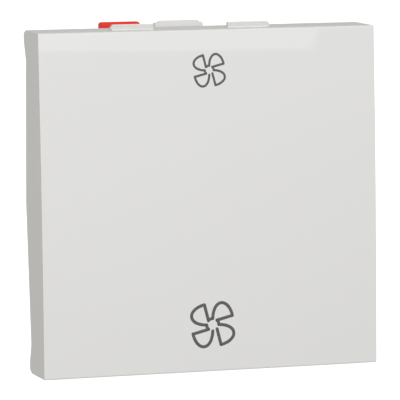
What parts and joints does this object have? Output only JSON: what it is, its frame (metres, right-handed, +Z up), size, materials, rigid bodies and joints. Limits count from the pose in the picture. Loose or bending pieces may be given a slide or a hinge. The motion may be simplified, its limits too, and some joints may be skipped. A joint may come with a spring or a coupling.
{
  "type": "fan speed control switch",
  "caption": "Square full-face rocker switch insert that sets a ventilation fan to low or high speed, with push-in wire terminals and clips for a mounting frame.",
  "frame": {"origin": "middle of the frame seat, the rear plane of the flange", "axes": "+Z up as mounted, +Y into the wall, the user looks along +Y at the rocker"},
  "size_m": [0.045, 0.0345, 0.0461],
  "materials": {
    "cap_white": "smooth gloss, fine moulded skin",
    "flange_white": "satin moulded",
    "base_white": "satin moulded, fine spark texture",
    "carrier_grey": "satin moulded",
    "button_red": "semi-gloss moulded",
    "button_grey": "semi-gloss moulded",
    "copper_alloy": "rolled strip",
    "contact_silver": "bright silver",
    "spring_steel": "drawn and rolled steel"
  },
  "bodies": {
    "mechanism": {"bridge_plate": "flange_white", "base": "base_white", "back_plate": "base_white", "common_terminal": "copper_alloy", "low_terminal": "copper_alloy", "high_terminal": "copper_alloy", "lever_pin": "spring_steel", "fixed_contacts": "contact_silver", "clamp_spring_line": "spring_steel", "clamp_spring_low": "spring_steel", "clamp_spring_high": "spring_steel"},
    "rocker": {"rocker_cap": "cap_white", "rocker_carrier": "carrier_grey", "plunger_spring": "spring_steel"},
    "plunger": {"plunger": "carrier_grey"},
    "contact_lever": {"contact_lever": "copper_alloy", "moving_contacts": "contact_silver"},
    "line_button": {"release_button_line": "button_red"},
    "low_button": {"release_button_low": "button_grey"},
    "high_button": {"release_button_high": "button_grey"}
  },
  "joints": [
    {"name": "rocker_tilt", "type": "hinge", "parent": "mechanism", "child": "rocker", "pos_m": [0, -0.0046, 0], "axis": [1, 0, 0], "range_deg": [-3.5, 3.5]},
    {"name": "plunger_slide", "type": "slide", "parent": "rocker", "child": "plunger", "axis": [0, -1, 0], "range_m": [0, 0.0008], "stiffness_N_per_m": 900, "springref_m": -0.001, "deforming": ["plunger_spring"]},
    {"name": "lever_rock", "type": "hinge", "parent": "mechanism", "child": "contact_lever", "pos_m": [0, 0.0072, 0], "axis": [1, 0, 0], "range_deg": [-6.05, 6.05]},
    {"name": "line_release", "type": "slide", "parent": "mechanism", "child": "line_button", "axis": [0, 0, -1], "range_m": [0, 0.0012], "stiffness_N_per_m": 1500, "springref_m": -0.0005, "deforming": ["clamp_spring_line"]},
    {"name": "low_release", "type": "slide", "parent": "mechanism", "child": "low_button", "axis": [0, 0, 1], "range_m": [0, 0.0012], "stiffness_N_per_m": 1500, "springref_m": -0.0005, "deforming": ["clamp_spring_low"]},
    {"name": "high_release", "type": "slide", "parent": "mechanism", "child": "high_button", "axis": [0, 0, 1], "range_m": [0, 0.0012], "stiffness_N_per_m": 1500, "springref_m": -0.0005, "deforming": ["clamp_spring_high"]}
  ],
  "couplings": [
    {"joint": "lever_rock", "follows": "rocker_tilt", "ratio": -1.7143}
  ]
}
